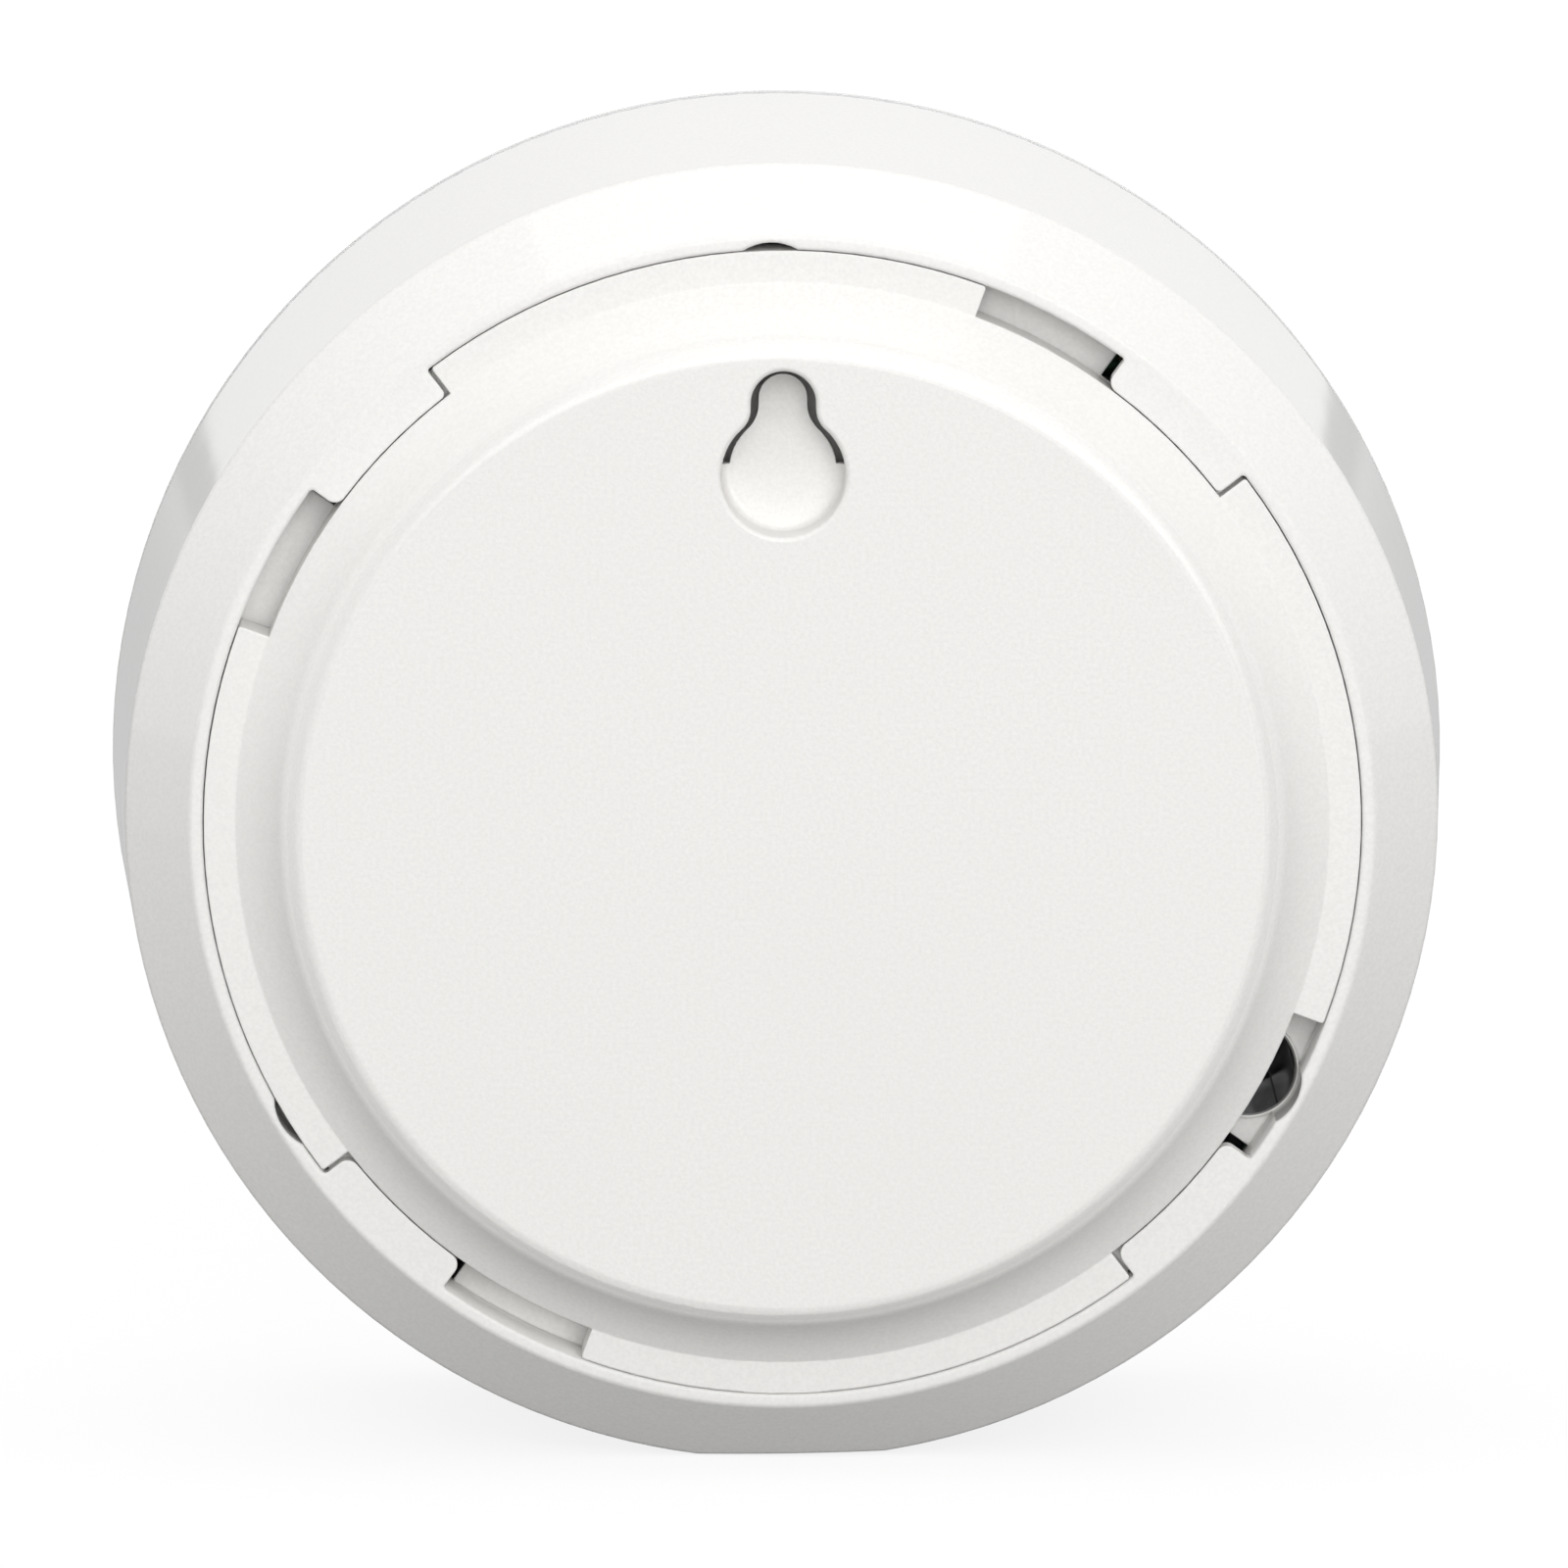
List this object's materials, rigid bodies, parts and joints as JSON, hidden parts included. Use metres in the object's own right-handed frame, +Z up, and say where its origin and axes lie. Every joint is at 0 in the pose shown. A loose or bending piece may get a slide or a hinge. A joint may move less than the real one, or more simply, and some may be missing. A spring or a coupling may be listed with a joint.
{
  "type": "siren alarm",
  "caption": "Round battery-powered indoor siren that twists off its raised wall plate, with a keyhole, a light ring and a slotted sound outlet.",
  "frame": {"origin": "centre of the wall plate's face on the wall", "axes": "+Y points into the wall along the siren's axis, +Z points up, the front faces -Y"},
  "size_m": [0.1054, 0.0458, 0.1031],
  "materials": {
    "plate_plastic": "fine matte grain, moulded white ABS",
    "housing_plastic": "satin moulded white ABS, glossier on the chamfer and flank",
    "cover_plastic": "satin moulded white ABS",
    "diffuser_plastic": "milky translucent light guide",
    "screw_steel": "zinc plated",
    "board_laminate": "green solder mask",
    "sounder_plastic": "black moulded plastic",
    "disc_brass": "rolled brass",
    "ceramic": "silvered piezo ceramic",
    "foam": "closed-cell foam",
    "lead_sleeve": "soft insulation",
    "socket_plastic": "natural nylon",
    "mesh_cloth": "fine woven mesh",
    "cell_wrap": "plain shrink wrap",
    "contact_nickel": "nickel plated spring steel",
    "led_lens": "white flash light lens",
    "module_laminate": "blue solder mask",
    "shield_tin": "tinned can",
    "antenna_wire": "bare wire",
    "ferrite": "ferrite",
    "coil_copper": "enamelled copper",
    "capacitor_sleeve": "plain sleeve",
    "chip_resin": "moulded resin",
    "switch_plastic": "black plastic",
    "pin_plastic": "smooth acetal",
    "button_plastic": "grey plastic"
  },
  "bodies": {
    "wall_mount": {"mount_plate": "plate_plastic"},
    "siren": {"rear_housing": "housing_plastic", "front_cover": "cover_plastic", "light_ring": "diffuser_plastic", "housing_screws": "screw_steel", "main_board": "board_laminate", "board_screws": "screw_steel", "sounder_case": "sounder_plastic", "sounder_base": "sounder_plastic", "piezo_disc": "disc_brass", "piezo_ceramic": "ceramic", "sounder_gasket": "foam", "sounder_pad": "foam", "sounder_leads": "lead_sleeve", "lead_socket": "socket_plastic", "dust_mesh": "mesh_cloth", "battery_cells": "cell_wrap", "battery_contacts": "contact_nickel", "light_leds": "led_lens", "radio_module": "module_laminate", "radio_shield": "shield_tin", "antenna": "antenna_wire", "coil_core": "ferrite", "coil_winding": "coil_copper", "storage_capacitor": "capacitor_sleeve", "controller_chip": "chip_resin", "tamper_switch": "switch_plastic", "button_switch": "switch_plastic"},
    "tamper": {"tamper_plunger": "pin_plastic"},
    "button": {"function_button": "button_plastic"}
  },
  "joints": [
    {"name": "body_twist", "type": "hinge", "parent": "wall_mount", "child": "siren", "pos_m": [0, 0, 0], "axis": [0, 1, 0], "range_deg": [-0.3, 15]},
    {"name": "tamper_slide", "type": "slide", "parent": "siren", "child": "tamper", "axis": [0, 1, 0], "range_m": [-0.0001, 0.0017]},
    {"name": "button_press", "type": "slide", "parent": "siren", "child": "button", "axis": [0, -1, 0], "range_m": [0, 0.0004], "stiffness_N_per_m": 1000, "springref_m": -0.0003}
  ],
  "couplings": [
    {"joint": "tamper_slide", "follows": "body_twist", "m_per_rad": 0.0061115}
  ]
}
